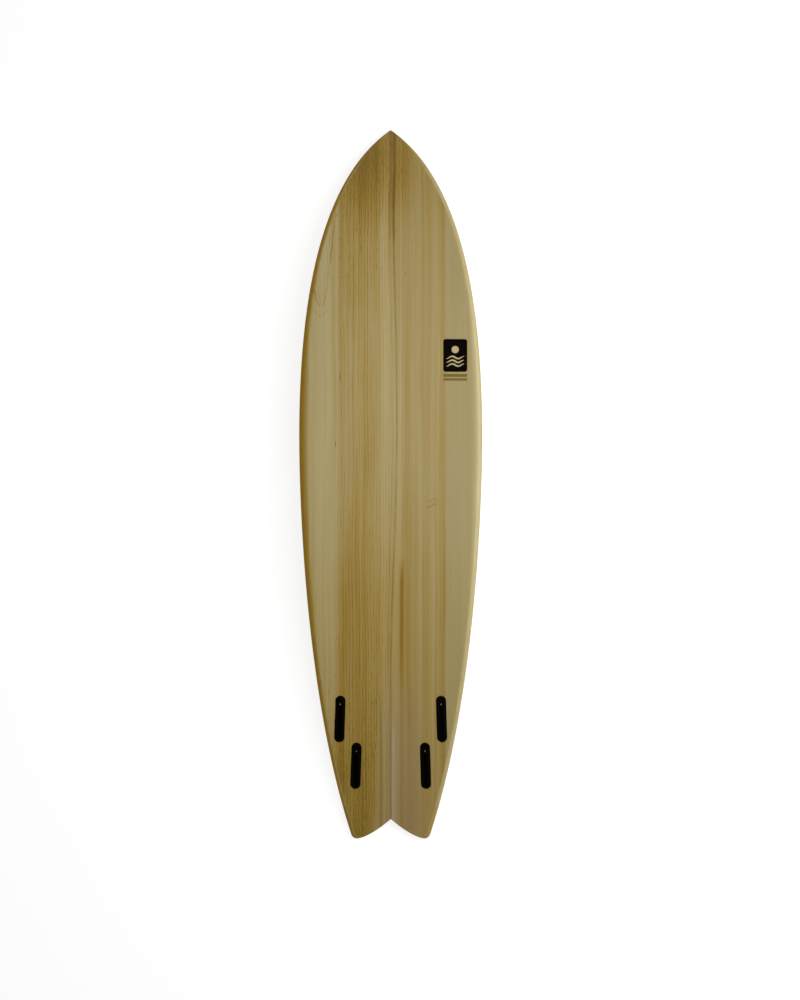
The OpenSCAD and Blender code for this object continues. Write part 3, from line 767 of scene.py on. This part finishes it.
BOTTOM_COLUMNS = SHARES + offsets(30, 27, 24, 21, 18, 16, 14, 13, 12)
DECK_COLUMNS = SHARES + offsets(30, 28, 26, 24, 22.5, 21)
MIDDLE_COLUMNS = offsets(21, 19, 17, 15.5, 14, 13, 12)
BLOCK_COLUMNS = SHARES + offsets(30, 28, 26, 24, 22.5, 21, 19, 17, 15.5, 14, 13) + ARC


def make_slab(name, stations, columns, sides, upper, lower, material):
    points, faces = slab_mesh(stations, columns, sides, upper, lower)
    obj = make_object(name, points, faces, material)
    return obj


# A fin box's flange and body, its slot, and how deep the flange is. Length first, then width.
FLANGE, BODY, SLOT, FLANGE_DEPTH = (138.0, 30.0), (126.0, 19.0), (99.0, 6.5), 2.2
# Flange radius, flange depth, barrel radius and depth of the leash plug and of the vent.
LEASH_PLUG, VENT = (15.0, 2.0, 13.0, 17.0), (11.0, 1.6, 8.5, 13.0)
ABOVE = 8.0


def oval(size, more, z):
    """A stadium of that size, larger by more."""
    return stadium(size[0] + more, size[1] + more, z)


def pocket(matrix, depth, grow=0.12):
    """A cutter for one fin box: its flange and its body, a hair larger all round."""
    loops = [
        oval(BODY, 2 * grow, -depth - grow),
        oval(BODY, 2 * grow, -FLANGE_DEPTH - grow),
        oval(FLANGE, 2 * grow, -FLANGE_DEPTH - grow),
        oval(FLANGE, 2 * grow, ABOVE),
    ]
    return make_object("cutter", *loft(loops), None, transform=matrix)


def round_pocket(matrix, wide, flange, barrel, deep, grow=0.12):
    """A cutter for the leash plug or the vent."""
    loops = [
        ring(barrel + grow, -deep - grow),
        ring(barrel + grow, -flange - grow),
        ring(wide + grow, -flange - grow),
        ring(wide + grow, ABOVE),
    ]
    return make_object("cutter", *loft(loops), None, transform=matrix)


for hand in ("left", "right"):
    skin = make_slab(
        f"bottom_veneer_{hand}",
        ALL_Y,
        BOTTOM_COLUMNS,
        hand,
        bottom_face,
        under_bottom,
        BOTTOM_WOOD,
    )
    cut(skin, [pocket(*BOXES[f"{pair}_{hand}"]) for pair in ("front", "rear")])
    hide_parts(f"bottom_skin_{hand}")
    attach(skin, "board")

    skin = make_slab(
        f"deck_veneer_{hand}", ALL_Y, DECK_COLUMNS, hand, over_deck, deck_face, DECK_WOOD
    )
    plug_pocket = round_pocket(deck_place(LEASH_Y), *LEASH_PLUG)
    cut(skin, [plug_pocket, round_pocket(deck_place(VENT_Y), *VENT)])
    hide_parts(f"deck_skin_{hand}")
    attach(skin, "board")

    for strip, columns, material, slot in (
        ("middle", MIDDLE_COLUMNS, INNER_WOOD, "rail_inner_wood"),
        ("outer", ARC, OUTER_WOOD, "rail_outer_wood"),
    ):
        rail = make_slab(
            f"rail_{strip}_strip_{hand}",
            RAIL_Y,
            columns,
            hand,
            under_bottom,
            over_deck,
            material,
        )
        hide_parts(f"rail_{strip}_{hand}")
        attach(rail, "board")

    block = make_slab(
        f"tail_tip_{hand}", TAIL_Y, BLOCK_COLUMNS, hand, under_bottom, over_deck, BLOCK_WOOD
    )
    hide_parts(f"tail_block_{hand}")
    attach(block, "board")

block = make_slab(
    "nose_tip", NOSE_BLOCK_Y, BLOCK_COLUMNS, "both", under_bottom, over_deck, BLOCK_WOOD
)
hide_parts("nose_block")
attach(block, "board")

# ---- Fin boxes and screws --------------------------------------------------------------------------

SCREW_MOUTH, SCREW_LEAN, SCREW_SUNK, SCREW_LENGTH = 44.0, 32.0, 1.0, 9.0
SLOT_BACK, BORE, HEXAGON = -12.5, 2.55, 1.2


def screw_axis(matrix):
    mouth = matrix @ Matrix.Translation((0, SCREW_MOUTH * MM, 0))
    return mouth @ Matrix.Rotation(-math.radians(SCREW_LEAN), 4, "X")


def fin_box(name, matrix, depth):
    """A moulded box with a rounded flange, a slot for the fin's tab and a leaning screw bore."""
    loops = [
        oval(BODY, -1.0, -depth),
        oval(BODY, 0.0, -depth + 0.5),
        oval(BODY, 0.0, -FLANGE_DEPTH),
        oval(FLANGE, -0.4, -FLANGE_DEPTH),
        oval(FLANGE, 0.0, -2.0),
        oval(FLANGE, 0.0, -0.45),
        oval(FLANGE, -0.2, -0.15),
        oval(FLANGE, -0.7, -0.02),
        oval(FLANGE, -1.3, 0.0),
    ]
    box = make_object(name, *loft(loops), BLACK, transform=matrix)
    slot_at = matrix @ Matrix.Translation((0, SLOT_BACK * MM, 0))
    slot_loops = [
        oval(SLOT, 0.0, -depth + 2.5),
        oval(SLOT, 0.0, -0.9),
        oval(SLOT, 0.5, -0.35),
        oval(SLOT, 1.6, 0.1),
        oval(SLOT, 3.0, 0.8),
    ]
    bore_loops = [ring(BORE, -15.0), ring(BORE, -0.8), ring(3.3, 0.4), ring(5.4, 4.0)]
    cutters = [
        make_object("cutter", *loft(slot_loops), None, transform=slot_at),
        make_object("cutter", *loft(bore_loops), None, transform=screw_axis(matrix)),
    ]
    cut(box, cutters)
    return box


def screw(name, matrix):
    """A headless screw: a cut thread, chamfered ends and a hexagon socket."""
    pitch, outer, root, layer = 0.8, 2.5, 2.08, 0.1
    chamfer, chamfer_deep = 0.6, 0.55
    loops = []
    for i in range(int(SCREW_LENGTH / layer) + 1):
        z = -SCREW_SUNK - SCREW_LENGTH + i * layer
        from_end = min(i * layer, SCREW_LENGTH - i * layer)
        widest = outer - chamfer_deep * max(0.0, chamfer - from_end) / chamfer
        loop = []
        for j in range(ROUND_SIDES):
            phase = (z / pitch - j / ROUND_SIDES) % 1.0
            r = root + (outer - root) * min(1.0, max(0.0, 2.6 * (0.5 - abs(phase - 0.5)) - 0.15))
            r = min(r, widest)
            a = 2 * math.pi * j / ROUND_SIDES
            loop.append((r * math.cos(a), r * math.sin(a), z))
        loops.append(loop)
    top = -SCREW_SUNK
    loops += [
        ring(1.62, top - 0.02),
        ring(HEXAGON, top - 0.3, flats=6),
        ring(HEXAGON, top - 3.0, flats=6),
        ring(0.3, top - 3.5),
    ]
    obj = make_object(name, *loft(loops), STEEL, smooth=40, transform=screw_axis(matrix))
    return obj


for place_name, (matrix, depth) in BOXES.items():
    box = fin_box(f"fin_box_{place_name}_moulding", matrix, depth)
    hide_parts(f"fin_box_{place_name}")
    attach(box, "board")
    pin = screw(f"fin_screw_{place_name}_threaded", matrix)
    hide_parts(f"fin_screw_{place_name}")
    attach(pin, f"screw_{place_name}")

# ---- Badge: a plain panel with a sun over three swells, and two plain bars below ------------------

BADGE_X, BADGE_Y = 188.5, 376.5
PANEL, PANEL_CORNER, BAR_LENGTH = (70.0, 96.0), 7.5, 69.0
# Each bar's height, and its centre measured from the panel's centre.
BAR_ROWS = ((8.5, -58.5), (7.0, -70.3))
# How far each print stands above the bottom, and how thick it is.
INK, PALE_PRINT = (0.05, 0.45), (0.11, 0.12)


def patch(name, grids, rise, deep, material, slot):
    """A thin piece that follows the bottom. Each grid is rows of (x, y) with equal counts."""
    points, faces = [], []
    for rows in grids:
        grid = np.array(rows, float)
        x, y = grid[..., 0] + BADGE_X, grid[..., 1] + BADGE_Y
        r, c = x.shape
        index = np.arange(2 * r * c).reshape(2, r, c) + sum(len(p) for p in points)
        for height in (rise, rise - deep):
            z = bottom_face(x, y, outline(y)) + height
            points.append(np.stack([x, y, z], axis=-1).reshape(-1, 3))
        for layer, order in ((0, -1), (1, 1)):
            sheet = index[layer]
            corners = (sheet[:-1, :-1], sheet[1:, :-1], sheet[1:, 1:], sheet[:-1, 1:])
            faces.extend(np.stack(corners[::order], axis=-1).reshape(-1, 4).tolist())
        for edge in (index[:, :, 0], index[:, :, -1], index[:, 0, :], index[:, -1, :]):
            corners = (edge[0, :-1], edge[0, 1:], edge[1, 1:], edge[1, :-1])
            faces.extend(np.stack(corners, axis=-1).tolist())
    obj = make_object(name, np.concatenate(points), faces, material)
    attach(obj, "board")
    return obj


def rounded_rows(wide, tall, corner, across=12, along=16):
    """Rows of a rounded rectangle, closer together in its corners."""
    rows = []
    turn = [corner * (1 - math.cos(math.radians(a))) for a in range(0, 91, 10)]
    levels = [-tall / 2 + t for t in turn]
    levels += list(np.linspace(-tall / 2 + corner, tall / 2 - corner, along + 1)[1:-1])
    levels += [-v for v in reversed(levels[: len(turn)])]
    for v in levels:
        into = max(0.0, corner - (tall / 2 - abs(v)))
        reach = wide / 2 - corner + math.sqrt(max(0.0, corner**2 - into**2))
        rows.append([(u * reach, v) for u in np.linspace(-1, 1, across + 1)])
    return rows


def ribbon_rows(curve, thick, count=60):
    """Rows of a ribbon that tapers at both ends, along curve(t) = (x, y)."""
    rows = []
    for i in range(count + 1):
        t = i / count
        x, y = curve(t)
        ahead, behind = curve(min(1, t + 0.01)), curve(max(0, t - 0.01))
        dx, dy = ahead[0] - behind[0], ahead[1] - behind[1]
        size = math.hypot(dx, dy)
        half = thick / 2 * (0.12 + 0.88 * math.sin(math.pi * t) ** 0.6)
        rows.append([(x - dy / size * half * s, y + dx / size * half * s) for s in (-1, 0, 1)])
    return rows


def moved(rows, dx, dy):
    return [[(x + dx, y + dy) for x, y in row] for row in rows]


def swell(base, height, reach):
    """The centre line of one rolling swell."""
    return lambda t: ((t - 0.5) * 2 * reach, base + height * math.sin((t * 1.5 - 0.25) * 2 * math.pi))


panel = patch("badge_film", [rounded_rows(*PANEL, PANEL_CORNER)], *INK, BADGE, "badge_black")
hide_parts("badge_panel")
sun = moved(rounded_rows(21.0, 21.0, 10.4, 12, 2), 0.0, 17.0)
swells = [ribbon_rows(swell(base, 3.4, 26.0), 4.6) for base in (-6.0, -17.0, -28.0)]
patch("badge_sun_and_swells", [sun, *swells], *PALE_PRINT, PALE_INK, "bottom_wood")
bar_grids = [moved(rounded_rows(BAR_LENGTH, tall, 0.8, 12, 2), 0.0, down) for tall, down in BAR_ROWS]
bars = patch("badge_underlines", bar_grids, *INK, BARS, "badge_black")
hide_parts("badge_bars")

# ---- CAD pieces that are kept: fittings on the deck and what is inside ------------------------------

KEPT = {
    "foam_core": CORE_FOAM,
    **{f"rail_inner_{hand}": INNER_WOOD for hand in ("left", "right")},
    **{f"fin_insert_{place_name}": DENSE_FOAM for place_name in BOXES},
    "leash_insert": DENSE_FOAM,
    "leash_cup": BLACK,
    "leash_bar": STEEL,
    "vent_body": BLACK,
    "vent_membrane": MEMBRANE,
    "vent_seal": RUBBER,
    "vent_cap": CAP_BLACK,
}
ROUNDED = {"leash_cup": 0.35, "vent_body": 0.3, "vent_cap": 0.2}
for node, material in KEPT.items():
    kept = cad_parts[node]
    kept.data.materials.clear()
    kept.data.materials.append(material)
    if node in ROUNDED:
        weld = kept.modifiers.new("weld", "WELD")
        weld.merge_threshold = MERGE
        bevel = kept.modifiers.new("rounded_edges", "BEVEL")
        bevel.width, bevel.segments, bevel.limit_method = ROUNDED[node] * MM, 2, "ANGLE"
        bevel.angle_limit = math.radians(40)

# ---- Floor, light and camera -------------------------------------------------------------------------

PAPER_GLOW, ROOM_LIGHT = 0.84, 0.20


def floor_material():
    """White paper that is nearly full white in the light, and is seen only from above."""
    g = Graph("floor_paper")
    g.finish((0.28, 0.28, 0.28), 0.9, Specular_IOR_Level=0.1)
    glow = g.nodes.new("ShaderNodeEmission")
    glow.inputs["Color"].default_value = (1.0, 1.0, 1.0, 1.0)
    glow.inputs["Strength"].default_value = PAPER_GLOW
    both = g.nodes.new("ShaderNodeAddShader")
    g.links.new(g.shader.outputs[0], both.inputs[0])
    g.links.new(glow.outputs[0], both.inputs[1])
    clear = g.nodes.new("ShaderNodeBsdfTransparent")
    side = g.nodes.new("ShaderNodeNewGeometry")
    pick = g.nodes.new("ShaderNodeMixShader")
    g.links.new(side.outputs["Backfacing"], pick.inputs[0])
    g.links.new(both.outputs[0], pick.inputs[1])
    g.links.new(clear.outputs[0], pick.inputs[2])
    g.links.new(pick.outputs[0], g.out.inputs[0])
    return g.material


FLOOR_REACH, FLOOR_Z = 60.0, -0.001
floor_mesh = bpy.data.meshes.new("floor")
corners = [(FLOOR_REACH * u, FLOOR_REACH * v, FLOOR_Z) for u, v in ((-1, -1), (1, -1), (1, 1), (-1, 1))]
floor_mesh.from_pydata(corners, [], [(0, 1, 2, 3)])
floor_mesh.materials.append(floor_material())
floor = bpy.data.objects.new("floor", floor_mesh)
bpy.context.scene.collection.objects.link(floor)
# The satin coat would mirror the bright floor along the rails.
floor.visible_glossy = False

world = bpy.data.worlds.new("studio")
world.use_nodes = True
world.node_tree.nodes["Background"].inputs["Color"].default_value = (1.0, 1.0, 1.0, 1.0)
world.node_tree.nodes["Background"].inputs["Strength"].default_value = ROOM_LIGHT
bpy.context.scene.world = world


def softbox(name, where, toward, size, power, colour):
    data = bpy.data.lights.new(name, "AREA")
    data.shape, data.size, data.size_y = "RECTANGLE", size[0], size[1]
    data.energy, data.color = power, colour
    lamp = bpy.data.objects.new(name, data)
    lamp.location = where
    lamp.rotation_euler = (Vector(toward) - Vector(where)).to_track_quat("-Z", "Y").to_euler()
    lamp.visible_camera = False
    bpy.context.scene.collection.objects.link(lamp)


softbox("bank", (2.4, 0.25, 1.3), (0.0, 0.20, 0.05), (1.8, 2.0), 68.0, (1.0, 1.0, 0.99))
softbox("high", (1.0, 0.30, 2.2), (0.0, 0.12, 0.05), (1.4, 1.4), 23.5, (1.0, 1.0, 0.99))
softbox("nose_end", (0.3, 2.4, 2.4), (0.0, 0.1, 0.05), (1.0, 1.0), 6.0, (1.0, 1.0, 1.0))
softbox("tail_end", (0.3, -2.4, 2.4), (0.0, -0.1, 0.05), (1.0, 1.0), 4.0, (1.0, 1.0, 1.0))

camera_data = bpy.data.cameras.new("camera")
camera = bpy.data.objects.new("camera", camera_data)
CAMERA_HEIGHT, FRAME_HEIGHT, SENSOR = 12.0, 2.944, 36.0
CAMERA_X, CAMERA_Y = 0.0272, -0.0456
camera_data.sensor_fit = "AUTO"
camera_data.sensor_width = SENSOR
camera_data.lens = SENSOR * CAMERA_HEIGHT / FRAME_HEIGHT
camera_data.clip_end = 200.0
camera.location = (CAMERA_X, CAMERA_Y, CAMERA_HEIGHT)
camera.rotation_euler = (0.0, 0.0, 0.0)
bpy.context.scene.collection.objects.link(camera)
bpy.context.scene.camera = camera
bpy.context.scene.view_settings.view_transform = "Standard"
